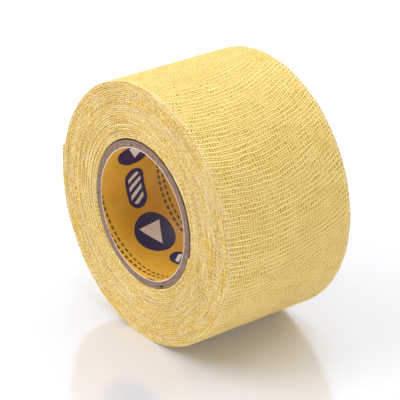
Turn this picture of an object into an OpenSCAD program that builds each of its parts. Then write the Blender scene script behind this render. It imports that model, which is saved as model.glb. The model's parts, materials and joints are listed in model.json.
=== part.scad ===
// Roll of stretch grip tape on a spiral-wound paperboard core.
// The roll's axis lies along Y and its centre is the origin. +Z is up, and the roll stands on its
// outermost turn. Angles in the XZ plane are counted from +X towards +Z.

/* [Roll] */
// Width of the tape, and length of the core that carries it
tape_w = 38; // [19:1:50]
// Turns of tape on the roll
turns = 27.5; // [20:0.5:36]
// How much the outermost turn is pressed flat where the roll stands
flat_depth = 0.2; // [0.1:0.01:0.3]

/* [Tape] */
// Thickness of one turn of tape
tape_t = 0.48; // [0.35:0.01:0.7]
// Least air between one turn and the next
turn_gap = 0.05; // [0.03:0.01:0.1]
// Angle at which the outer end of the tape is cut off
end_angle = 168; // [130:1:200]
// Length of the outer end that peels off the roll
tail_len = 20; // [10:1:30]
// Slot at the fold line, where the tail starts
fold_gap = 0.12; // [0.06:0.01:0.3]

/* [Core] */
// Radius of the bore through the printed liner
bore_r = 16.9; // [10:0.1:24]
// Thickness of the printed liner
liner_t = 0.2; // [0.15:0.01:0.3]
// Thickness of each paperboard ply
ply_t = 0.42; // [0.3:0.01:0.55]
// Thickness of the dried glue between two plies
glue_line = 0.02; // [0.01:0.01:0.05]
// Width of the butt seam, where the two edges of a wound ply meet
seam_w = 0.3; // [0.1:0.05:0.6]
// Distance along the axis in which a wound ply makes one full turn
seam_lead = 88; // [60:1:140]

/* [Starter] */
// Length, round the core, of the glue film that holds the first turn
starter_len = 14; // [8:1:25]
// Thickness of that glue film
starter_t = 0.06; // [0.04:0.01:0.1]
// Distance from each edge of the tape to the glue film
starter_inset = 1; // [0.5:0.5:4]

/* [Hidden] */

$fn = 96;
overshoot = 1;         // how far a cut runs past the faces it opens
touch = 0.01;          // clearance on each side of the starter glue

ply_count = 4;
ply_pitch = ply_t + glue_line;
core_r = bore_r + liner_t + ply_count * ply_pitch;

// The tape is a spiral of half turns. Their centres sit in turn on either side of the roll's axis,
// a quarter of the pitch away from it, so that each half turn meets the next one flush. Their
// radii are kept to whole thousandths of a millimetre, which makes those meeting faces coincide.
half_turns = round(2 * turns);
turn_pitch = ceil((tape_t + turn_gap) * 250) / 250;
centre_shift = turn_pitch / 4;
first_turn_r = round((core_r + starter_t + 2 * touch) * 1000) / 1000;
roll_r = first_turn_r + tape_t + half_turns * turn_pitch / 2;
start_angle = end_angle + 180 * half_turns;
lowest_z = centre_shift * sin(end_angle) - (roll_r - centre_shift);

tail_angle = tail_len / roll_r * 180 / PI;
fold_angle = fold_gap / roll_r * 180 / PI;

seam_sections = 12;    // straight pieces that together follow one helical seam
first_seam_angle = 3;  // where the inner ply's seam starts
seam_stagger = 95;     // turn from one ply's seam to the next ply's
liner_seam_angle = 320;

// Half turn of tape, counted inwards from the cut end, or the part of it between two angles.
// With a margin it is larger all round, as a cutter.
module half_turn(index, from = 0, to = 180, margin = 0) {
    inner_r = roll_r - centre_shift - tape_t - index * turn_pitch / 2;
    rotate([0, -(end_angle + 180 * (index % 2)), 0])
        translate([centre_shift, 0, 0])
            rotate([90, 0, 0])
                rotate([0, 0, from])
                    rotate_extrude(angle = to - from)
                        translate([inner_r - margin, -tape_w / 2 - margin])
                            square([tape_t + 2 * margin, tape_w + 2 * margin]);
}

// Tube along Y, centred on the origin
module tube(r_in, r_out, length) {
    rotate([90, 0, 0])
        difference() {
            cylinder(r = r_out, h = length, center = true);
            cylinder(r = r_in, h = length + 2 * overshoot, center = true);
        }
}

// Helical slit through a tube wall, made of straight pieces that each lie along the helix
module seam_cut(r_in, r_out, start) {
    mid_r = (r_in + r_out) / 2;
    run = tape_w + 2 * overshoot;
    rise = run / seam_sections;
    turn = 360 * rise / seam_lead;
    lean = atan2(2 * PI * mid_r, seam_lead);
    overlap = 1.08;
    for (i = [0 : seam_sections - 1])
        rotate([0, -(start + (i + 0.5) * turn), 0])
            translate([mid_r, (i + 0.5) * rise - run / 2, 0])
                rotate([lean, 0, 0])
                    cube([r_out - r_in + overshoot, rise / cos(lean) * overlap, seam_w], center = true);
}

// Layer of the spiral-wound core: a strip wound edge to edge into a tube
module wound_layer(r_in, thickness, seam_start) {
    difference() {
        tube(r_in, r_in + thickness, tape_w);
        seam_cut(r_in, r_in + thickness, seam_start);
    }
}

// Paperboard ply; index 0 lies against the liner
module ply(index) {
    wound_layer(bore_r + liner_t + glue_line + index * ply_pitch, ply_t,
                first_seam_angle + index * seam_stagger);
}

module printed_liner() { color("orange") wound_layer(bore_r, liner_t, liner_seam_angle); }

module core_inner_ply() { color("rosybrown") ply(0); }

module core_second_ply() { color("tan") ply(1); }

module core_third_ply() { color("rosybrown") ply(2); }

module core_outer_ply() { color("tan") ply(3); }

// Film of glue between the core and the inner end of the tape
module starter_glue() {
    sweep = starter_len / core_r * 180 / PI;
    color("ivory")
        rotate([0, -(start_angle - sweep), 0])
            rotate([90, 0, 0])
                rotate_extrude(angle = sweep)
                    translate([core_r + touch, starter_inset - tape_w / 2])
                        square([starter_t, tape_w - 2 * starter_inset]);
}

// All of the tape but its tail, pressed flat underneath
module tape_winding() {
    color("khaki")
        difference() {
            union() {
                difference() {
                    half_turn(0);
                    half_turn(0, -fold_angle, tail_angle, turn_gap / 2);
                }
                for (i = [1 : half_turns - 1]) half_turn(i);
            }
            translate([-roll_r / 2, -tape_w / 2 - overshoot, lowest_z - roll_r])
                cube([roll_r, tape_w + 2 * overshoot, roll_r + flat_depth]);
        }
}

// Cut outer end of the tape, which peels off about its fold line
module tape_free_end() { color("khaki") half_turn(0, to = tail_angle - fold_angle); }

printed_liner();
core_inner_ply();
core_second_ply();
core_third_ply();
core_outer_ply();
starter_glue();
tape_winding();
tape_free_end();
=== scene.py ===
import json
import math

import bpy
import numpy as np
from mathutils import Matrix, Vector


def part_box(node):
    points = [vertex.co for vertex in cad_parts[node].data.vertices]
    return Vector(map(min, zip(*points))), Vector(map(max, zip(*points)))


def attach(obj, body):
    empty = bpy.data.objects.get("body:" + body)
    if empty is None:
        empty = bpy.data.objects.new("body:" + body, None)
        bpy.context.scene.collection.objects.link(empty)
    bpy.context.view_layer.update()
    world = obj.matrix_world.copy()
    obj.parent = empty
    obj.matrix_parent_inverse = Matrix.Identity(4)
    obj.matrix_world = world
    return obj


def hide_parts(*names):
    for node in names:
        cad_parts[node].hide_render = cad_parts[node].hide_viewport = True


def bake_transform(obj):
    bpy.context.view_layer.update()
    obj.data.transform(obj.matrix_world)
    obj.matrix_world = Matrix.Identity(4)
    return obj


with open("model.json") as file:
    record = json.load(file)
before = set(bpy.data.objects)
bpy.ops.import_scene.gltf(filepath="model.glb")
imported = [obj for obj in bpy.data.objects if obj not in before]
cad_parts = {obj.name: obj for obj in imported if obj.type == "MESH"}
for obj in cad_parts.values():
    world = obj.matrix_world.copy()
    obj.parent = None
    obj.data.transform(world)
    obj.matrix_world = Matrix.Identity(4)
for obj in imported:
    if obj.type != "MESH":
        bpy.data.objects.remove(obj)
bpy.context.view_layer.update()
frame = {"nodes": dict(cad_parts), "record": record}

MM = 0.001

# ---------------------------------------------------------------- sizes

# The wound tape. Lengths along it are counted from its cut outer end, inwards.
TAPE_THICK = 0.48 * MM
TAPE_PITCH = 0.532 * MM                 # from one turn to the next
TAPE_TURNS = 27.5
TAPE_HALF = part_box("tape_winding")[1][1]
CUT_ANGLE = math.radians(168)           # where the outer end is cut off, from +X towards +Z
TAIL_LENGTH = 20 * MM                   # the outer end that peels off
CURL_LENGTH = 4 * MM                    # how much of it curls off the roll at the cut
CURL_LIFT = 0.2 * MM
FOLD_REACH = 3 * MM                     # the bend's length; the tail's piece goes as far past it
EDGE_ROUND = 0.13 * MM                  # how far the cut edges bulge
ARC_SHIFT = TAPE_PITCH / 4              # the spiral's arcs are centred this far off the axis
ROLL_R = (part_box("tape_winding")[1][2] + TAPE_PITCH / 2
          + ARC_SHIFT * (1 + math.sin(CUT_ANGLE)))
STAND_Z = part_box("tape_winding")[0][2]  # the surface that the roll stands on
LAP_LENGTH = 5 * MM                     # the cloth that shows goes on this far under its own start
OUTER_START = TAIL_LENGTH + FOLD_REACH
OUTER_STOP = 2 * np.pi * ROLL_R + TAIL_LENGTH + LAP_LENGTH
TAPE_STOP = 2 * np.pi * (ROLL_R * TAPE_TURNS - TAPE_PITCH * TAPE_TURNS ** 2 / 2)
STARTER_GAP = 0.5 * MM                  # left off at the inner end, where the starter is glued
THREADS_STOP = 4550 * MM                # loose threads lie on the tape as far in as this

# Crinkles of the stretch cloth, and its yarns
RIDGE_PITCH = 1.17 * MM
RIDGE_HEIGHT = 0.065 * MM
RIDGE_BOW = 3.2 * MM                    # how far a ridge's ends lie along the tape from its middle
RIDGE_SKEW = 2.6 * MM                   # how far one end lies on from there, and the other back
WARP_PITCH = 0.77 * MM
GRAIN_HEIGHT = 0.03 * MM                # fine unevenness of the cloth
PRESSED_DEPTH = 0.03 * MM               # how far the cloth under the tail is pressed in
CLOTH_STEP = 0.145 * MM                 # grid of the cloth that shows, along the tape
CLOTH_COLUMNS = 46                      # and across its outer face
INNER_STEP = 0.75 * MM                  # grid of the turns under it
INNER_COLUMNS = 2

# The core: plies of paperboard round a printed liner
BORE_R = frame["record"]["mounts"][0]["dims"]["r_mm"] * MM
LINER_THICK = 0.2 * MM
PLY_THICK = 0.42 * MM
PLY_PITCH = 0.44 * MM
SEAM_LEAD = 88 * MM                     # a wound ply makes one full turn in this length
SEAM_WIDTH = 0.3 * MM
FIRST_SEAM = math.radians(7)            # where the inner ply's seam meets the front end
SEAM_STAGGER = math.radians(95)
NICK_ANGLE = math.radians(295)          # a nick in the front end of the two outer plies
NICK_WIDTH = 0.45 * MM
NICK_DEPTH = 2.2 * MM
LINER_SEAM = math.radians(324)
LINER_ROUND = 0.05 * MM                 # corners of a cut end
PLY_ROUND = 0.09 * MM
LINER_ROUGH = 0.01 * MM                 # random unevenness of a cut end
PLY_ROUGH = 0.03 * MM

# The liner's print, in millimetres on its paper. Each repeat of a row holds a disc and a bar, whose
# places along the row are from the middle of the repeat.
PRINT_LEAN = math.radians(7)            # rows lean off the way round the bore
PRINT_REPEAT = 26.0
PRINT_ROW = 19.0
PRINT_TURN = 4.0                        # how far the print is moved back round the bore
PRINT_DROP = 18.6                       # and towards its front end
DISC_AT = -6.2
DISC_R = 5.7
ARROW_BACK = -8.8
ARROW_LENGTH = 6.2
ARROW_SLOPE = 0.55                      # half its height over its length
BAR_AT = 6.8
BAR_HALF = 2.7                          # half the straight part, with a half circle at each end
BAR_R = 2.9
STRIPE_HALF = 2.6                       # the stripes fill a smaller bar inside it
STRIPE_R = 1.9
STRIPE_PITCH = 2.3
STRIPE_SLANT = 0.6
DASH_PITCH = 1.7
DASH_ROWS = ((7.4, 0.38), (8.8, 0.3))   # place across the row and half width of each line of dashes
PRINT_BLUR = 0.07                       # half the width of a printed edge


# ---------------------------------------------------------------- shapes

def field(seed, u, v=0.0):
    """Smooth random field from -1 to 1: random values on a lattice of unit cells, blended from
    corner to corner by the smoothstep of the place in the cell."""
    lattice = np.random.default_rng(seed).uniform(-1, 1, (1024, 64))
    u, v = np.broadcast_arrays(u, v)
    i, j = np.floor(u).astype(int), np.floor(v).astype(int)
    a, b = u - i, v - j
    a, b = a * a * (3 - 2 * a), b * b * (3 - 2 * b)

    def corner(down, across):
        return lattice[(i + down) % 1024, (j + across) % 64]

    near = corner(0, 0) * (1 - a) + corner(1, 0) * a
    far = corner(0, 1) * (1 - a) + corner(1, 1) * a
    return near * (1 - b) + far * b


def smooth(value, low, high):
    """Rises from 0 to 1 between low and high, level at both ends."""
    t = np.clip((value - low) / (high - low), 0, 1)
    return t * t * (3 - 2 * t)


def turns_at(length):
    """Turns of the spiral in a length of tape. The length of t turns is 2 pi (R t - pitch t^2 / 2),
    and this is the smaller root for t."""
    return (ROLL_R - np.sqrt(ROLL_R ** 2 - TAPE_PITCH * length / np.pi)) / TAPE_PITCH


def on_spiral(turn, depth):
    """Point (x, z) that lies depth under the tape's outer face, some turns in from the cut end.
    Each half turn is an arc: radius R - shift - half turns * pitch / 2, and its centre lies on one
    side or the other of the axis by the shift."""
    half = np.floor(turn * 2)
    side = np.where(half % 2 == 0, ARC_SHIFT, -ARC_SHIFT)
    radius = ROLL_R - ARC_SHIFT - half * TAPE_PITCH / 2 - depth
    angle = CUT_ANGLE + turn * 2 * np.pi
    return (side * math.cos(CUT_ANGLE) + radius * np.cos(angle),
            side * math.sin(CUT_ANGLE) + radius * np.sin(angle))


def crepe(s, y):
    """Height of the crinkled cloth over its mean face at length s and width y, with the ridges'
    phase and strength there. A ridge is the fourth power of a raised cosine of the length, which
    is skewed by the width and bowed by its square. Two random fields wander its phase, so that
    ridges run across the tape, wave, fork and meet. A third sets their strength and a fourth is
    the grain."""
    bowed = s - RIDGE_BOW * (y / TAPE_HALF) ** 2 - RIDGE_SKEW * y / TAPE_HALF
    phase = (bowed / RIDGE_PITCH + 0.5 * field(1, s / (5 * MM), y / (15 * MM))
             + 0.15 * field(2, s / (1.6 * MM), y / (2.4 * MM)))
    crown = (0.5 + 0.5 * np.cos(2 * np.pi * phase)) ** 4
    strength = 0.72 + 0.4 * field(3, s / (2.2 * MM), y / (5 * MM))
    grain = field(4, s / (0.4 * MM), y / (0.75 * MM))
    height = RIDGE_HEIGHT * strength * (crown - 0.3) + GRAIN_HEIGHT * grain
    return height, phase, strength


def edge_stand(s, turn, side):
    """How far the tape's cut edge stands out of the roll's side: one random amount for each turn,
    and two finer fields along the length for the waves of the winding and the yarn ends."""
    seed = 20 if side < 0 else 40
    per_turn = field(seed, turn * 1.0, 0.5)
    wave = field(seed + 1, s / (9 * MM), turn)
    yarn = field(seed + 2, s / (0.8 * MM), turn * 3)
    return (0.13 * per_turn + 0.07 * wave + 0.05 * yarn) * MM


def quads(rows, columns):
    """Four corners of each cell of a grid of points whose last column joins its first."""
    i = np.arange(rows - 1)[:, None] * columns
    j = np.arange(columns)[None, :]
    k = (j + 1) % columns
    return np.stack([i + j, i + k, i + columns + k, i + columns + j], -1).reshape(-1, 4)


def outward(points, faces):
    """Faces turned so that the closed shell's signed volume, the sum of a . (b x c) over its
    triangles, is positive."""
    total = 0.0
    for k in (1, 2):
        a, b, c = points[faces[:, 0]], points[faces[:, k]], points[faces[:, k + 1]]
        total += (a * np.cross(b, c)).sum()
    return faces if total > 0 else faces[:, ::-1]


def shell(points, rows, columns):
    """Outward faces of a closed profile that is carried along rows, and the two lids that close
    its ends."""
    faces = quads(rows, columns)
    turned = outward(points.reshape(-1, 3), faces)
    first = np.arange(columns)
    last = first + (rows - 1) * columns
    flipped = turned[0, 0] != faces[0, 0]
    lids = (first, last[::-1]) if flipped else (first[::-1], last)
    return turned, lids


def make_piece(name, points, faces, materials, uv=None, fields=None, finish_of=None, lids=()):
    """Object at the origin from arrays: points (n, 3), four-cornered faces (m, 4), a UV pair and
    named values for each point, and the material index of each face. lids are larger faces that
    close the ends."""
    points = points.reshape(-1, 3)
    mesh = bpy.data.meshes.new(name)
    mesh.from_pydata(points.tolist(), [], faces.tolist() + [list(lid) for lid in lids])
    for material in materials:
        mesh.materials.append(material)
    if finish_of is not None:
        index = np.zeros(len(mesh.polygons), np.int32)
        index[:len(finish_of)] = finish_of
        mesh.polygons.foreach_set("material_index", index)
    if uv is not None:
        corners = np.empty(len(mesh.loops), np.int32)
        mesh.loops.foreach_get("vertex_index", corners)
        layer = mesh.uv_layers.new(name="UVMap")
        layer.data.foreach_set("uv", uv.reshape(-1, 2)[corners].astype(np.float32).ravel())
    for label, values in (fields or {}).items():
        attribute = mesh.attributes.new(label, "FLOAT", "POINT")
        attribute.data.foreach_set("value", values.astype(np.float32).ravel())
    mesh.polygons.foreach_set("use_smooth", np.ones(len(mesh.polygons), bool))
    mesh.update()
    piece = bpy.data.objects.new(name, mesh)
    bpy.context.scene.collection.objects.link(piece)
    return piece


def tape_profile(columns, edge_cells):
    """Cross-section of the tape as a closed loop of (y, depth): along the outer face from front to
    back, round the back edge, back along the inner face and round the front edge. The edges bulge
    by a sine of the way round them."""
    flat = TAPE_HALF - EDGE_ROUND
    face_y = np.linspace(-flat, flat, columns)
    way = np.pi * np.arange(1, edge_cells) / edge_cells
    edge_y = flat + EDGE_ROUND * np.sin(way) ** 0.7
    edge_depth = TAPE_THICK * (1 - np.cos(way)) / 2
    y = np.concatenate([face_y, edge_y, [flat, -flat], -edge_y])
    depth = np.concatenate([0 * face_y, edge_depth, [TAPE_THICK, TAPE_THICK], edge_depth[::-1]])
    is_edge = np.zeros(len(y), bool)
    is_edge[columns - 1:columns + edge_cells - 1] = True
    is_edge[columns + edge_cells:] = True
    return y, depth, is_edge


def tape_length(name, start, stop, step, columns, crinkled=True):
    """Closed piece of the wound tape, from one length along it to another: the cross-section
    carried along the spiral, with the crinkles on its outer face and each edge at its own stand.
    The tail presses the crinkles flat where it lies on them, and curls up at its cut by a
    smoothstep. Turns that aren't crinkled have a slight random unevenness."""
    rows = int(round((stop - start) / step)) + 1
    s = np.linspace(start, stop, rows)[:, None]
    profile_y, depth, is_edge = tape_profile(columns, 4)
    turn = turns_at(s)
    y = np.broadcast_to(profile_y, (rows, len(profile_y))).copy()
    near_edge = smooth(np.abs(profile_y), TAPE_HALF - 2 * MM, TAPE_HALF - 0.3 * MM)
    for side in (-1, 1):
        y += side * edge_stand(s, turn, side) * near_edge * (np.sign(profile_y) == side)
    height, phase, strength = crepe(s, y)
    under_tail = smooth(s, 2 * np.pi * ROLL_R - 3 * MM, 2 * np.pi * ROLL_R + 1 * MM)
    outer = 1 - depth / TAPE_THICK
    if crinkled:
        height = height * (1 - 0.85 * under_tail) - PRESSED_DEPTH * under_tail
    else:
        height = 0.02 * MM * field(5, s / (0.9 * MM), turn * 3)
    curl = CURL_LIFT * smooth(-s, -CURL_LENGTH, 0.0)
    x, z = on_spiral(turn, depth - height * outer - curl)
    z = np.maximum(z, STAND_Z)
    points = np.stack([x, y, z], -1)
    faces, lids = shell(points, rows, len(profile_y))
    finish_of = np.tile(is_edge, rows - 1).astype(np.int32)
    uv = np.stack([np.broadcast_to(s, y.shape), y], -1)
    # 1 at the tape's faces, where the turns meet: the mask of the cut edge's painted shade in the
    # grooves between turns.
    groove_shade = np.broadcast_to(np.abs(1 - 2 * depth / TAPE_THICK), y.shape)
    fields = {"turn": np.broadcast_to(turn, y.shape), "groove_shade": groove_shade, "phase": phase,
              "strength": strength}
    return make_piece(name, points, faces, [crinkled_cotton, cut_edge], uv, fields, finish_of, lids)


def thin_tubes(name, path, thickness, sides, material):
    """Many short hairs in one piece. path (hairs, stations, 3) holds their centre lines. Each is a
    tube whose radius falls to a tip at both ends by a root of the sine along it, round a ring of
    two directions square to the line."""
    hairs, stations, _ = path.shape
    no_hair_runs = np.array([0.31, 0.87, 0.38])
    along = np.gradient(path, axis=1)
    along /= np.linalg.norm(along, axis=2, keepdims=True)
    across = np.cross(along, no_hair_runs)
    across /= np.linalg.norm(across, axis=2, keepdims=True)
    over = np.cross(along, across)
    taper = np.sin(np.pi * (np.arange(stations) + 0.4) / (stations - 0.2)) ** 0.4
    radius = thickness[:, None, None, None] * taper[None, :, None, None]
    angle = 2 * np.pi * np.arange(sides) / sides
    ring = (np.cos(angle)[:, None] * across[:, :, None, :]
            + np.sin(angle)[:, None] * over[:, :, None, :])
    points = path[:, :, None, :] + radius * ring
    cells = quads(stations, sides)
    first = np.arange(hairs)[:, None, None] * stations * sides
    faces = (cells[None] + first).reshape(-1, 4)
    base = np.arange(hairs)[:, None] * stations * sides + np.arange(sides)[None, :]
    lids = np.concatenate([base[:, ::-1], base + (stations - 1) * sides])
    faces = outward(points.reshape(-1, 3), faces)
    return make_piece(name, points, faces, [material], lids=lids)


def edge_threads(name, count, seed):
    """Loose threads along the roll's sides: each follows its turn for a few millimetres, and
    arches off the side by a sine of the way along."""
    rng = np.random.default_rng(seed)
    start = rng.uniform(TAIL_LENGTH + 2 * FOLD_REACH, THREADS_STOP, count)
    length = rng.uniform(1.0, 7, count) * MM
    way = np.linspace(0, 1, 8)
    s = start[:, None] + length[:, None] * way
    side = np.where(rng.random(count) < 0.5, -1.0, 1.0)[:, None]
    lift = rng.uniform(0.04, 0.2, count)[:, None] * MM
    depth = rng.uniform(0, 1, count)[:, None] * TAPE_THICK
    x, z = on_spiral(turns_at(s), depth + 0.1 * MM * rng.uniform(-1, 1, count)[:, None] * way)
    stand = np.where(side < 0, edge_stand(s, turns_at(s), -1), edge_stand(s, turns_at(s), 1))
    y = side * (TAPE_HALF + stand - 0.03 * MM + lift * np.sin(np.pi * way))
    path = np.stack([x, y, np.maximum(z, STAND_Z + 0.05 * MM)], -1)
    return thin_tubes(name, path, rng.uniform(0.025, 0.05, count) * MM, 4, pale_thread)


def yarn_ends(name, seed):
    """Warp yarns that stick out of the cut end, one for each pitch of the warp: each leaves the
    cloth straight and then bends off by a square of the way along."""
    rng = np.random.default_rng(seed)
    y = np.arange(-TAPE_HALF + WARP_PITCH / 2, TAPE_HALF, WARP_PITCH)[:, None]
    count = len(y)
    way = np.linspace(0, 1, 6)
    s = 0.6 * MM - rng.uniform(0.9, 2.2, count)[:, None] * MM * way
    curl = CURL_LIFT * smooth(-s, -CURL_LENGTH, 0.0)
    lift = curl + rng.normal(0, 0.25, count)[:, None] * MM * way ** 2
    y = y + rng.normal(0, 0.3, count)[:, None] * MM * way ** 2
    depth = np.minimum(0.5 * TAPE_THICK - lift, TAPE_THICK - 0.04 * MM)
    x, z = on_spiral(turns_at(s), depth)
    path = np.stack([x, y + 0 * x, z], -1)
    return thin_tubes(name, path, rng.uniform(0.05, 0.08, count) * MM, 5, pale_thread)


def fuzz(name, count, seed):
    """Short fibres that stand off the outer turn: each leaves the cloth and curls over, its height
    a sine and its run a straight line with a bend."""
    rng = np.random.default_rng(seed)
    s = rng.uniform(TAIL_LENGTH + 2 * FOLD_REACH, 2 * np.pi * ROLL_R - 2 * MM, count)[:, None]
    y = rng.uniform(-1, 1, count)[:, None] * (TAPE_HALF - 0.3 * MM)
    way = np.linspace(0, 1, 6)
    run = rng.normal(0, 0.6, (2, count))[:, :, None] * MM
    bend = rng.normal(0, 0.3, (2, count))[:, :, None] * MM
    tall = rng.uniform(0.1, 0.5, count)[:, None] * MM
    s = s + run[0] * way + bend[0] * way ** 2
    y = np.clip(y + run[1] * way + bend[1] * way ** 2, -TAPE_HALF, TAPE_HALF)
    x, z = on_spiral(turns_at(s), -tall * np.sin(2.2 * way) + 0.02 * MM)
    path = np.stack([x, y, np.maximum(z, STAND_Z + 0.03 * MM)], -1)
    return thin_tubes(name, path, np.full(count, 0.018 * MM), 3, dyed_fibre)


def wound_tube(name, inner_r, thick, seam_at_front, material, end_material, roughness, corner,
               nick=0.0):
    """Strip wound edge to edge into a tube. Its angle runs once round from the seam, and the seam
    turns by y / lead. The wall's cross-section is a loop of (radius, y) with rounded corners, a
    random field roughens its cut ends, and a nick goes into the front end by a bell curve."""
    rows, length_cells, corner_cells = 541, 12, 3
    bend = np.linspace(0, np.pi / 2, corner_cells + 1)
    half = TAPE_HALF
    y_side = np.linspace(-half + corner, half - corner, length_cells + 1)
    arc_r, arc_y = corner * np.sin(bend[1:-1]), corner * np.cos(bend[1:-1])
    outer_r = inner_r + thick
    radius = np.concatenate([0 * y_side + outer_r, outer_r - corner + arc_y, [outer_r - corner],
                             [inner_r + thick / 2], [inner_r + corner], inner_r + corner - arc_r,
                             0 * y_side + inner_r, inner_r + corner - arc_y, [inner_r + corner],
                             [inner_r + thick / 2], [outer_r - corner], outer_r - corner + arc_r])
    y = np.concatenate([y_side, half - corner + arc_r, [half], [half], [half], half - corner + arc_y,
                        y_side[::-1], -half + corner - arc_r, [-half], [-half], [-half],
                        -half + corner - arc_y])
    is_end = np.abs(y) > half - corner * 0.999
    gap = SEAM_WIDTH / (inner_r + thick / 2)
    way = np.linspace(0, 1, rows)[:, None]
    seam = seam_at_front + 2 * np.pi * (y + half) / SEAM_LEAD
    angle = seam + gap / 2 + way * (2 * np.pi - gap)
    worn = roughness * field(60, angle * inner_r / (0.7 * MM), radius / (0.3 * MM)) * is_end
    from_nick = (angle - NICK_ANGLE + np.pi) % (2 * np.pi) - np.pi
    bite = nick * np.exp(-(from_nick * inner_r / NICK_WIDTH) ** 2) * (y < -half + corner * 1.001)
    y = y - np.sign(y) * (roughness + worn) + bite
    points = np.stack([radius * np.cos(angle), y + 0 * angle, radius * np.sin(angle)], -1)
    faces, lids = shell(points, rows, len(radius))
    finish_of = np.tile(is_end | np.roll(is_end, -1), rows - 1).astype(np.int32)
    uv = np.stack([(seam + way * 2 * np.pi) * inner_r, y + 0 * angle], -1)
    fields = {"wall": np.broadcast_to((radius - inner_r) / thick, y.shape)}
    return make_piece(name, points, faces, [material, end_material], uv, fields, finish_of, lids)


# ---------------------------------------------------------------- materials

def tone(red, green, blue):
    """Linear colour from the 0 to 255 numbers that a painter's chart gives."""
    def linear(value):
        value /= 255
        return value / 12.92 if value <= 0.04045 else ((value + 0.055) / 1.055) ** 2.4
    return (linear(red), linear(green), linear(blue), 1.0)


class Bench:
    """Short ways to add and join the nodes of one material or node group."""

    def __init__(self, tree):
        self.tree = tree

    def add(self, kind, settings=None, **inputs):
        """New node with its settings, and its inputs fed by name (underscores stand for spaces)."""
        node = self.tree.nodes.new(kind)
        for key, value in (settings or {}).items():
            setattr(node, key, value)
        for key, value in inputs.items():
            self.feed(node.inputs[key.replace("_", " ")], value)
        return node

    def feed(self, socket, value):
        """Joins a socket to another, or sets its value."""
        if isinstance(value, bpy.types.NodeSocket):
            self.tree.links.new(value, socket)
        else:
            socket.default_value = value

    def math(self, operation, *values, clamp=False):
        node = self.add("ShaderNodeMath", {"operation": operation, "use_clamp": clamp})
        for socket, value in zip(node.inputs, values):
            self.feed(socket, value)
        return node.outputs[0]

    def join(self, x=0.0, y=0.0, z=0.0):
        return self.add("ShaderNodeCombineXYZ", X=x, Y=y, Z=z).outputs[0]

    def split(self, vector):
        return self.add("ShaderNodeSeparateXYZ", Vector=vector).outputs

    def mix(self, share, first, second):
        """Colour that goes from first to second as share goes from 0 to 1."""
        node = self.add("ShaderNodeMix", {"data_type": "RGBA"})
        self.feed(node.inputs[0], share)
        self.feed(node.inputs[6], first)
        self.feed(node.inputs[7], second)
        return node.outputs[2]

    def band(self, value, low, high, bottom=0.0, top=1.0):
        """Value carried smoothly from low..high to bottom..top."""
        node = self.add("ShaderNodeMapRange", {"interpolation_type": "SMOOTHSTEP"}, Value=value)
        for key, number in zip((1, 2, 3, 4), (low, high, bottom, top)):
            node.inputs[key].default_value = number
        return node.outputs[0]

    def noise(self, vector, scale=1.0, detail=2.0):
        return self.add("ShaderNodeTexNoise", Vector=vector, Scale=scale, Detail=detail).outputs[0]

    def attribute(self, name):
        return self.add("ShaderNodeAttribute", {"attribute_name": name}).outputs["Fac"]

    def millimetres(self, vector):
        node = self.add("ShaderNodeVectorMath", {"operation": "SCALE"}, Vector=vector)
        node.inputs["Scale"].default_value = 1000
        return node.outputs[0]

    def uv(self):
        """Place on the piece's own UV map, in millimetres."""
        return self.millimetres(self.add("ShaderNodeUVMap", {"uv_map": "UVMap"}).outputs[0])

    def place(self):
        """Place in the object, in millimetres."""
        return self.millimetres(self.add("ShaderNodeTexCoord").outputs["Object"])

    def group(self, tree, **inputs):
        return self.add("ShaderNodeGroup", {"node_tree": tree}, **inputs).outputs


def new_group(name, inputs, outputs):
    """Empty shader node group with named sockets, its bench, and its two ends."""
    tree = bpy.data.node_groups.new(name, "ShaderNodeTree")
    for label, kind, value in inputs:
        socket = tree.interface.new_socket(label, in_out="INPUT", socket_type=kind)
        if value is not None:
            socket.default_value = value
    for label, kind in outputs:
        tree.interface.new_socket(label, in_out="OUTPUT", socket_type=kind)
    bench = Bench(tree)
    return tree, bench, bench.add("NodeGroupInput").outputs, bench.add("NodeGroupOutput").inputs


def mottle_group():
    """Uneven colour of fibrous stuff: a coarse and a fine noise, and specks where the fine one is
    high. Scale is the coarse noise's, in cells for each millimetre."""
    tree, b, given, gives = new_group(
        "fibre_mottle",
        [("Vector", "NodeSocketVector", None), ("Scale", "NodeSocketFloat", 1.0)],
        [("Coarse", "NodeSocketFloat"), ("Fine", "NodeSocketFloat"), ("Specks", "NodeSocketFloat")])
    coarse = b.noise(given["Vector"], given["Scale"], 3.0)
    fine = b.noise(given["Vector"], b.math("MULTIPLY", given["Scale"], 7.0), 2.0)
    b.feed(gives["Coarse"], b.band(coarse, 0.3, 0.7))
    b.feed(gives["Fine"], b.band(fine, 0.25, 0.75))
    b.feed(gives["Specks"], b.band(fine, 0.62, 0.72))
    return tree


def yarn_group():
    """Side-by-side yarns: a cosine of a place over a pitch, whose phase a slow noise wanders. The
    mask is 1 along the middle of a yarn and 0 between two."""
    tree, b, given, gives = new_group(
        "yarn_rows",
        [("Place", "NodeSocketFloat", 0.0), ("Pitch", "NodeSocketFloat", 1.0),
         ("Vector", "NodeSocketVector", None), ("Wander", "NodeSocketFloat", 0.5)],
        [("Yarn", "NodeSocketFloat")])
    drift = b.math("MULTIPLY", b.noise(given["Vector"], 0.35, 2.0), given["Wander"])
    cycles = b.math("ADD", b.math("DIVIDE", given["Place"], given["Pitch"]), drift)
    wave = b.math("COSINE", b.math("MULTIPLY", cycles, 2 * math.pi))
    b.feed(gives["Yarn"], b.math("MULTIPLY_ADD", wave, 0.5, 0.5))
    return tree


def new_material(name):
    """Material with its Principled BSDF, and its bench."""
    material = bpy.data.materials.new(name)
    material.use_nodes = True
    bench = Bench(material.node_tree)
    return material, bench, material.node_tree.nodes["Principled BSDF"].inputs


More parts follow.
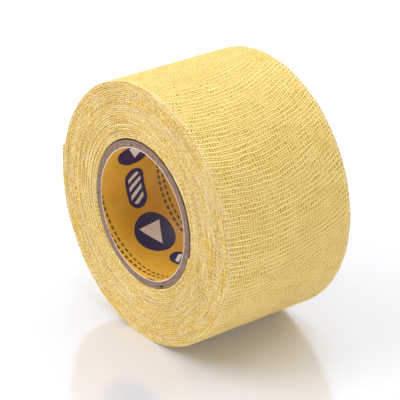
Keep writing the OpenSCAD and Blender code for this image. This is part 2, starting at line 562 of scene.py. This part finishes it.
def crinkled_cotton_material():
    """Yellow stretch cotton: pale ridges across the tape, each a power of a raised cosine of the
    ridges' phase; a second, thinner ridge beside them in patches; finer weft yarns between; warp
    yarns that shift sideways from ridge to ridge; and dark slots where the yarns part, as a
    product of the masks. The crowns of the ridges and yarns are painted lighter as painted
    highlight, and the valleys and slots darker as painted shade over the deeper yellow of the thin
    cloth there. Fibres and bared yarn make it paler, most of all along the edges."""
    material, b, surface = new_material("crinkled_cotton")
    uv = b.uv()
    s, y, _ = b.split(uv)
    phase = b.attribute("phase")
    mottle = b.group(mottle_tree, Vector=uv, Scale=0.22)
    ridge = b.group(yarn_tree, Place=phase, Pitch=1.0, Vector=uv, Wander=0.0)["Yarn"]
    crown = b.math("MULTIPLY", b.math("POWER", ridge, 5.0), b.attribute("strength"), clamp=True)
    beside = b.group(yarn_tree, Place=b.math("ADD", phase, 0.36), Pitch=1.0, Vector=uv,
                     Wander=0.3)["Yarn"]
    second = b.math("MULTIPLY", b.math("POWER", beside, 9.0), b.band(b.noise(uv, 0.3), 0.42, 0.58))
    weft = b.group(yarn_tree, Place=phase, Pitch=0.5, Vector=uv, Wander=0.25)["Yarn"]
    in_row = b.join(b.math("MULTIPLY", phase, 0.9), b.math("MULTIPLY", y, 0.12))
    shifted = b.math("ADD", y, b.math("MULTIPLY", b.noise(in_row), 1.3))
    warp = b.group(yarn_tree, Place=shifted, Pitch=WARP_PITCH / MM, Vector=uv, Wander=1.2)["Yarn"]
    fibres = b.noise(b.join(b.math("MULTIPLY", s, 9.0), b.math("MULTIPLY", y, 0.9)), 1.0, 2.0)
    trough = b.math("MULTIPLY", b.band(crown, 0.45, 0.06), b.band(weft, 1.0, 0.55, 0.45, 1.0))
    bare_trough = b.math("MULTIPLY", trough, b.band(second, 0.4, 0.05))
    slots = b.math("MULTIPLY", bare_trough, b.band(warp, 0.62, 0.15))
    slot_shade = b.math("MULTIPLY", slots, b.band(b.noise(uv, 1.6), 0.36, 0.6, 0.15, 1.0))
    # Painted highlight and shade: the crowns of the ridges, weft yarns, second ridges and warp yarns
    # are painted lighter than the valleys between them, which also hold the thin cloth's deeper
    # yellow.
    cloth = b.mix(b.band(crown, 0.08, 0.6), tone(216, 181, 86), tone(250, 229, 150))
    cloth = b.mix(b.band(weft, 0.5, 1.0, 0.0, 0.3), cloth, tone(238, 210, 126))
    cloth = b.mix(b.band(second, 0.1, 0.8, 0.0, 0.75), cloth, tone(248, 222, 138))
    cloth = b.mix(b.band(warp, 0.4, 0.95, 0.0, 0.35), cloth, tone(246, 220, 138))
    cloth = b.mix(b.math("MULTIPLY", mottle["Coarse"], 0.15), cloth, tone(232, 196, 100))
    cloth = b.mix(b.band(fibres, 0.48, 0.75, 0.0, 0.45), cloth, tone(253, 238, 178))
    cloth = b.mix(b.math("MULTIPLY", mottle["Specks"], 0.3), cloth, tone(200, 158, 74))
    rim = b.band(b.math("ABSOLUTE", y), TAPE_HALF / MM - 1.6, TAPE_HALF / MM - 0.1)
    bared = b.math("MULTIPLY", rim, b.band(fibres, 0.35, 0.6, 0.1, 0.65))
    cloth = b.mix(bared, cloth, tone(246, 226, 190))
    # Painted shade: the slots where the yarns part are painted dark, over the deeper yellow of the
    # cloth seen through them.
    cloth = b.mix(slot_shade, cloth, tone(150, 108, 18))
    b.feed(surface["Base Color"], cloth)
    b.feed(surface["Roughness"], b.band(mottle["Fine"], 0.0, 1.0, 0.82, 0.95))
    surface["Sheen Weight"].default_value = 0.06
    fine = b.math("ADD", b.math("MULTIPLY", weft, 0.6), b.math("MULTIPLY", fibres, 0.7))
    height = b.math("ADD", b.math("ADD", warp, fine), second)
    bump = b.add("ShaderNodeBump", Height=height, Strength=0.5, Distance=0.00012)
    b.feed(surface["Normal"], bump.outputs[0])
    return material


def cut_edge_material():
    """Cut edge of the tape, seen as one fine line for each turn: patches of deeper and paler
    yellow, whitish streaks of bared yarn, deep and pale fibrous grain, painted shade in the
    grooves between the turns, and rows of dark dots of painted shade where the crinkles leave
    gaps. Streaks run along the turns because the noises change faster from turn to turn than
    round the roll."""
    material, b, surface = new_material("cut_cotton_edge")
    s = b.split(b.uv())[0]
    turn = b.attribute("turn")
    place = b.place()
    x, _, z = b.split(place)

    def along_turns(round_rate, turn_rate):
        """Place for a noise, in cells for each millimetre round the roll and for each turn."""
        return b.join(b.math("MULTIPLY", x, round_rate), b.math("MULTIPLY", z, round_rate),
                      b.math("MULTIPLY", turn, turn_rate))

    mottle = b.group(mottle_tree, Vector=place, Scale=0.36)
    ends = b.group(yarn_tree, Place=s, Pitch=RIDGE_PITCH / MM, Vector=along_turns(0.4, 2.0),
                   Wander=0.8)["Yarn"]
    patches = b.band(b.noise(along_turns(0.13, 0.4)), 0.4, 0.6)
    streaks = b.band(b.noise(along_turns(0.3, 1.3)), 0.56, 0.7, 0.0, 0.6)
    cloth = b.mix(patches, tone(240, 198, 76), tone(250, 226, 140))
    cloth = b.mix(b.math("MULTIPLY", mottle["Coarse"], 0.25), cloth, tone(240, 200, 94))
    cloth = b.mix(streaks, cloth, tone(253, 234, 190))
    cloth = b.mix(b.band(mottle["Fine"], 0.52, 0.15, 0.0, 0.7), cloth, tone(198, 150, 44))
    cloth = b.mix(b.band(mottle["Fine"], 0.48, 0.85, 0.0, 0.6), cloth, tone(255, 243, 184))
    # Painted shade in the grooves between the turns.
    cloth = b.mix(b.band(b.attribute("groove_shade"), 0.6, 1.0, 0.0, 0.35), cloth, tone(184, 136, 48))
    # Painted shade: rows of dark dots in the gaps that the crinkles leave in the edge.
    rows = b.band(b.noise(along_turns(0.06, 1.7)), 0.5, 0.62)
    dots = b.math("MULTIPLY", rows, b.band(ends, 0.2, 0.05))
    cloth = b.mix(b.math("MULTIPLY", dots, 0.75), cloth, tone(158, 110, 30))
    b.feed(surface["Base Color"], cloth)
    b.feed(surface["Roughness"], b.band(mottle["Fine"], 0.0, 1.0, 0.85, 0.98))
    surface["Sheen Weight"].default_value = 0.1
    bump = b.add("ShaderNodeBump", Height=b.math("ADD", ends, mottle["Fine"]), Strength=0.5,
                 Distance=0.0001)
    b.feed(surface["Normal"], bump.outputs[0])
    return material


def thread_material(name, deep, pale):
    """Cotton thread or fibre that has worked loose, between a deeper and a paler tone."""
    material, b, surface = new_material(name)
    mottle = b.group(mottle_tree, Vector=b.place(), Scale=0.3)
    b.feed(surface["Base Color"], b.mix(mottle["Coarse"], deep, pale))
    b.feed(surface["Roughness"], b.band(mottle["Fine"], 0.0, 1.0, 0.8, 0.95))
    return material


def board_material(name, pale, dark):
    """Grey-brown chipboard: mottled pulp with light and dark fibres in it, darker where one ply
    meets the next."""
    material, b, surface = new_material(name)
    place = b.place()
    mottle = b.group(mottle_tree, Vector=place, Scale=0.9)
    pulp = b.mix(mottle["Coarse"], dark, pale)
    pulp = b.mix(b.math("MULTIPLY", mottle["Specks"], 0.5), pulp, tone(96, 76, 66))
    pulp = b.mix(b.band(b.noise(place, 3.1), 0.6, 0.75, 0.0, 0.4), pulp, tone(212, 194, 176))
    middle = b.math("ABSOLUTE", b.math("SUBTRACT", b.attribute("wall"), 0.5))
    pulp = b.mix(b.band(middle, 0.25, 0.48, 0.0, 0.55), pulp, tone(92, 72, 62))
    b.feed(surface["Base Color"], pulp)
    b.feed(surface["Roughness"], b.band(mottle["Fine"], 0.0, 1.0, 0.85, 0.97))
    bump = b.add("ShaderNodeBump", Height=mottle["Fine"], Strength=0.5, Distance=0.0001)
    b.feed(surface["Normal"], bump.outputs[0])
    return material


def printed_paper_material():
    """Coated paper printed orange yellow, with navy discs that each carry a white arrowhead, navy
    bars with slanted white stripes between them, and rows of small dashes. A shape is a band of
    the distance from its middle or its axis, within one repeat of a row, and every other row
    starts half a repeat on. Nothing on it is lettering."""
    material, b, surface = new_material("printed_paper")
    uv = b.uv()
    u, v, _ = b.split(uv)
    cos, sin = math.cos(PRINT_LEAN), math.sin(PRINT_LEAN)
    along = b.math("ADD", b.math("MULTIPLY", u, cos), b.math("MULTIPLY", v, sin))
    across = b.math("SUBTRACT", b.math("MULTIPLY", v, cos), b.math("MULTIPLY", u, sin))
    dropped = b.math("ADD", across, PRINT_DROP)
    row = b.math("FLOOR", b.math("DIVIDE", dropped, PRINT_ROW))
    in_row = b.math("SUBTRACT", dropped, b.math("MULTIPLY", row, PRINT_ROW))
    local_v = b.math("SUBTRACT", in_row, PRINT_ROW / 2)
    row_start = b.math("MULTIPLY", row, PRINT_REPEAT / 2)
    shifted = b.math("ADD", b.math("ADD", along, PRINT_TURN), row_start)
    cell = b.math("FLOOR", b.math("DIVIDE", shifted, PRINT_REPEAT))
    in_cell = b.math("SUBTRACT", shifted, b.math("MULTIPLY", cell, PRINT_REPEAT))
    local_u = b.math("SUBTRACT", in_cell, PRINT_REPEAT / 2)

    def off(value, middle):
        """Distance of a value from a middle, on either side."""
        return b.math("ABSOLUTE", b.math("SUBTRACT", value, middle))

    def away(middle, half_length=0.0):
        """Distance from a short line of this half length that lies along the middle of the row."""
        clear = b.math("MAXIMUM", b.math("SUBTRACT", off(local_u, middle), half_length), 0.0)
        squares = [b.math("MULTIPLY", part, part) for part in (clear, local_v)]
        return b.math("SQRT", b.math("ADD", *squares))

    def inside(distance, limit):
        """1 where the distance is under the limit and 0 over it, with a soft printed edge."""
        return b.band(distance, limit + PRINT_BLUR, limit - PRINT_BLUR)

    disc = inside(away(DISC_AT), DISC_R)
    bar = inside(away(BAR_AT, BAR_HALF), BAR_R)
    from_back = b.math("SUBTRACT", local_u, ARROW_BACK)
    flank = b.math("MULTIPLY", b.math("SUBTRACT", ARROW_LENGTH, from_back), ARROW_SLOPE)
    arrow = b.math("MULTIPLY", inside(b.math("SUBTRACT", b.math("ABSOLUTE", local_v), flank), 0.0),
                   inside(b.math("MULTIPLY", from_back, -1.0), 0.0))
    slanted = b.math("ADD", local_u, b.math("MULTIPLY", local_v, STRIPE_SLANT))
    in_stripe = b.math("FRACT", b.math("DIVIDE", slanted, STRIPE_PITCH))
    stripe = b.math("MULTIPLY", inside(off(in_stripe, 0.5), 0.25),
                    inside(away(BAR_AT, STRIPE_HALF), STRIPE_R))
    navy = b.math("MAXIMUM", disc, bar)
    white = b.math("MAXIMUM", arrow, stripe)
    dash = b.band(off(b.math("FRACT", b.math("DIVIDE", along, DASH_PITCH)), 0.5), 0.36, 0.3)
    lines = b.math("MAXIMUM", *(inside(off(local_v, at), half) for at, half in DASH_ROWS))
    mottle = b.group(mottle_tree, Vector=uv, Scale=0.15)
    ink = b.mix(mottle["Coarse"], tone(235, 180, 56), tone(242, 191, 70))
    ink = b.mix(b.math("MULTIPLY", b.math("MULTIPLY", dash, lines), 0.85), ink, tone(62, 40, 34))
    ink = b.mix(navy, ink, tone(44, 32, 96))
    ink = b.mix(white, ink, tone(248, 248, 252))
    b.feed(surface["Base Color"], ink)
    b.feed(surface["Roughness"], b.band(mottle["Fine"], 0.0, 1.0, 0.38, 0.5))
    surface["Coat Weight"].default_value = 0.15
    surface["Coat Roughness"].default_value = 0.3
    return material


def paper_edge_material():
    """Raw edge of the liner's paper: off-white and slightly warm."""
    material, b, surface = new_material("paper_edge")
    mottle = b.group(mottle_tree, Vector=b.place(), Scale=1.2)
    b.feed(surface["Base Color"], b.mix(mottle["Coarse"], tone(238, 214, 200), tone(250, 232, 220)))
    b.feed(surface["Roughness"], b.band(mottle["Fine"], 0.0, 1.0, 0.8, 0.95))
    return material


def glue_material():
    """Dried glue: a cloudy film."""
    material, b, surface = new_material("dried_glue")
    mottle = b.group(mottle_tree, Vector=b.place(), Scale=0.6)
    b.feed(surface["Base Color"], b.mix(mottle["Coarse"], tone(222, 212, 186), tone(238, 230, 208)))
    b.feed(surface["Roughness"], b.band(mottle["Coarse"], 0.0, 1.0, 0.25, 0.5))
    return material


mottle_tree = mottle_group()
yarn_tree = yarn_group()
crinkled_cotton = crinkled_cotton_material()
cut_edge = cut_edge_material()
pale_thread = thread_material("pale_thread", tone(250, 226, 170), tone(255, 240, 214))
dyed_fibre = thread_material("dyed_fibre", tone(240, 210, 130), tone(252, 232, 166))
board = board_material("chipboard", tone(176, 152, 134), tone(140, 114, 98))
board_end = board_material("chipboard_cut_end", tone(168, 142, 124), tone(134, 106, 92))
printed_paper = printed_paper_material()
paper_edge = paper_edge_material()
dried_glue = glue_material()


# ---------------------------------------------------------------- the tape

outer_turn = tape_length("outer_turn", OUTER_START, OUTER_STOP, CLOTH_STEP, CLOTH_COLUMNS)
inner_turns = tape_length("inner_turns", OUTER_STOP, TAPE_STOP - STARTER_GAP, INNER_STEP,
                          INNER_COLUMNS, crinkled=False)
free_end = tape_length("free_end", 0.0, OUTER_START, CLOTH_STEP, CLOTH_COLUMNS)
threads = edge_threads("edge_threads", count=2200, seed=11)
fibres = fuzz("loose_fibres", count=3500, seed=12)
cut_yarns = yarn_ends("cut_yarn_ends", seed=13)

for piece in (outer_turn, inner_turns, threads, fibres):
    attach(piece, "roll")
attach(cut_yarns, "free_end")
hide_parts("tape_winding")
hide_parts("tape_winding")
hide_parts("tape_free_end")

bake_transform(free_end)


# ---------------------------------------------------------------- the core

liner = wound_tube("liner_paper", BORE_R, LINER_THICK, LINER_SEAM, printed_paper, paper_edge,
                   LINER_ROUGH, LINER_ROUND)
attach(liner, "roll")
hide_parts("printed_liner")

plies = ("core_inner_ply", "core_second_ply", "core_third_ply", "core_outer_ply")
for index, node in enumerate(plies):
    inner_r = BORE_R + LINER_THICK + (PLY_PITCH - PLY_THICK) + index * PLY_PITCH
    ply = wound_tube(node + "_board", inner_r, PLY_THICK, FIRST_SEAM + index * SEAM_STAGGER,
                     board, board_end, PLY_ROUGH, PLY_ROUND, NICK_DEPTH if index > 1 else 0.0)
    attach(ply, "roll")
    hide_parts(node)

for slot in frame["nodes"]["starter_glue"].material_slots:
    slot.material = dried_glue


# ---------------------------------------------------------------- floor, light and camera

FLOOR_REACH = 3.0
GLOW_NEAR, GLOW_FAR = 70.0, 220.0       # millimetres from the middle of the floor


def lit_white(name, colour):
    """Glossy white table. Away from the roll, by a smoothstep of the distance, it is also bright in
    itself to the camera and in reflections. So it reads as white to its far edge and still takes
    shadows near the roll."""
    material, b, surface = new_material(name)
    surface["Base Color"].default_value = colour
    surface["Roughness"].default_value = 0.15
    surface["IOR"].default_value = 4.0
    surface["Specular Tint"].default_value = (1.0, 0.9, 0.8, 1.0)
    x, y, _ = b.split(b.place())
    distance = b.math("SQRT", b.math("ADD", b.math("MULTIPLY", x, x), b.math("MULTIPLY", y, y)))
    glow = b.band(distance, GLOW_NEAR, GLOW_FAR, 0.06, 0.9)
    path = b.add("ShaderNodeLightPath").outputs
    seen = b.math("MAXIMUM", path["Is Camera Ray"], path["Is Glossy Ray"])
    seen = b.math("MAXIMUM", seen, path["Is Transmission Ray"])
    surface["Emission Color"].default_value = (0.55, 0.78, 1.0, 1.0)
    b.feed(surface["Emission Strength"], b.math("MULTIPLY", seen, glow))
    return material


def add_floor():
    """Wide flat sheet at the level that the roll stands on."""
    mesh = bpy.data.meshes.new("floor")
    corners = [(x * FLOOR_REACH, y * FLOOR_REACH, STAND_Z)
               for x, y in ((-1, -1), (1, -1), (1, 1), (-1, 1))]
    mesh.from_pydata(corners, [], [(0, 1, 2, 3)])
    mesh.materials.append(lit_white("white_table", (0.80, 0.85, 0.95, 1.0)))
    floor = bpy.data.objects.new("floor", mesh)
    bpy.context.scene.collection.objects.link(floor)


def add_sky(light, seen):
    """World that lights at one strength and looks white to the camera and in reflections."""
    world = bpy.data.worlds.new("studio")
    bpy.context.scene.world = world
    world.use_nodes = True
    b = Bench(world.node_tree)
    path = b.add("ShaderNodeLightPath").outputs
    back = world.node_tree.nodes["Background"].inputs
    share = b.math("MAXIMUM", path["Is Camera Ray"], path["Is Transmission Ray"])
    share = b.math("MAXIMUM", share, path["Is Glossy Ray"])
    back["Color"].default_value = (1.0, 1.0, 1.0, 1.0)
    b.feed(back["Strength"], b.math("MULTIPLY_ADD", share, seen - light, light))


def add_lamp(name, place, size, power):
    """Square soft box at a place, facing the roll."""
    light = bpy.data.lights.new(name, "AREA")
    light.shape = "SQUARE"
    light.size = size
    light.energy = power
    lamp = bpy.data.objects.new(name, light)
    lamp.location = place
    lamp.rotation_euler = (-Vector(place)).to_track_quat("-Z", "Y").to_euler()
    bpy.context.scene.collection.objects.link(lamp)


def add_camera(azimuth, elevation, distance, focal, aside, above):
    """Camera that looks at the roll from an azimuth and elevation. aside and above move it and its
    aim together, across and up the picture."""
    a, e = math.radians(azimuth), math.radians(elevation)
    back = Vector((math.sin(a) * math.cos(e), -math.cos(a) * math.cos(e), math.sin(e)))
    right = Vector((math.cos(a), math.sin(a), 0.0))
    up = back.cross(right)
    data = bpy.data.cameras.new("camera")
    data.sensor_width = 36
    data.lens = focal
    camera = bpy.data.objects.new("camera", data)
    camera.location = back * distance + right * aside + up * above
    camera.rotation_euler = back.to_track_quat("Z", "Y").to_euler()
    bpy.context.scene.collection.objects.link(camera)
    bpy.context.scene.camera = camera


add_floor()
add_sky(light=0.23, seen=1.0)
add_lamp("key", place=(-0.02, 0.15, 0.52), size=0.68, power=3.1)
add_lamp("front", place=(-0.28, -0.36, 0.40), size=0.50, power=2.8)
add_lamp("side", place=(0.50, 0.02, 0.14), size=0.36, power=0.7)
add_camera(azimuth=52.0, elevation=25.4, distance=0.5, focal=180.5, aside=-0.7 * MM,
           above=-1.4 * MM)
bpy.context.scene.view_settings.view_transform = "Standard"
